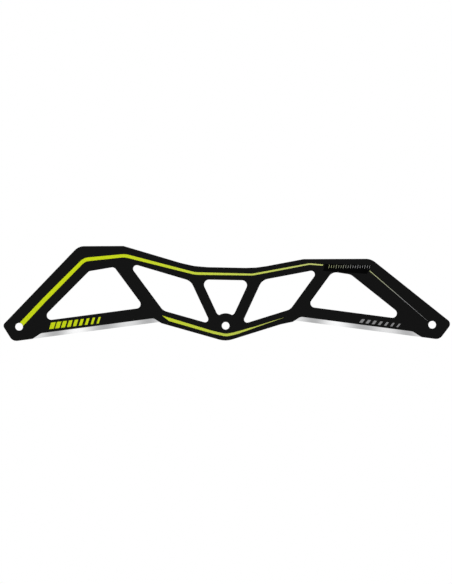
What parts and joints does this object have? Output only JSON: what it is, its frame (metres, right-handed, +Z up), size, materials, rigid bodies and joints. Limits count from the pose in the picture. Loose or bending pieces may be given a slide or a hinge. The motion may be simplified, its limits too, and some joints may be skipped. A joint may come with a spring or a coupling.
{
  "type": "inline skate frame",
  "caption": "Open truss inline skate frame: twin side plates, raised heel and lower toe decks with sideways slide plates, axle bushes and cross ties; takes large wheels.",
  "frame": {"origin": "centre of the middle axle, halfway between the side plates", "axes": "+X forward to the toe, +Y to the left, +Z up to the boot"},
  "size_m": [0.3569, 0.036, 0.076],
  "materials": {
    "black_anodised": "matte black anodised, fine blasted grain",
    "dark_anodised": "dark anodised, milled",
    "bare_aluminium": "bare metal, milled along its length",
    "slide_steel": "zinc plated steel, ground",
    "screw_steel": "blackened steel, slightly oily",
    "lime_print": "satin lime ink",
    "grey_print": "satin silver-grey ink"
  },
  "bodies": {
    "frame": {"right_side_plate": "black_anodised", "left_side_plate": "black_anodised", "heel_platform": "dark_anodised", "toe_platform": "dark_anodised", "rear_strut_web": "dark_anodised", "front_strut_web": "dark_anodised", "rear_rail_spacer": "dark_anodised", "front_rail_spacer": "dark_anodised", "rear_bush_right": "bare_aluminium", "rear_bush_left": "bare_aluminium", "middle_bush_right": "bare_aluminium", "middle_bush_left": "bare_aluminium", "front_bush_right": "bare_aluminium", "front_bush_left": "bare_aluminium", "heel_platform_screws": "screw_steel", "toe_platform_screws": "screw_steel", "rear_web_screws": "screw_steel", "front_web_screws": "screw_steel", "rear_spacer_screw": "screw_steel", "front_spacer_screw": "screw_steel"},
    "heel_slide": {"heel_slide_plate": "slide_steel"},
    "toe_slide": {"toe_slide_plate": "slide_steel"}
  },
  "joints": [
    {"name": "heel_side_slide", "type": "slide", "parent": "frame", "child": "heel_slide", "axis": [0, 1, 0], "range_m": [-0.006, 0.006]},
    {"name": "toe_side_slide", "type": "slide", "parent": "frame", "child": "toe_slide", "axis": [0, 1, 0], "range_m": [-0.006, 0.006]}
  ]
}
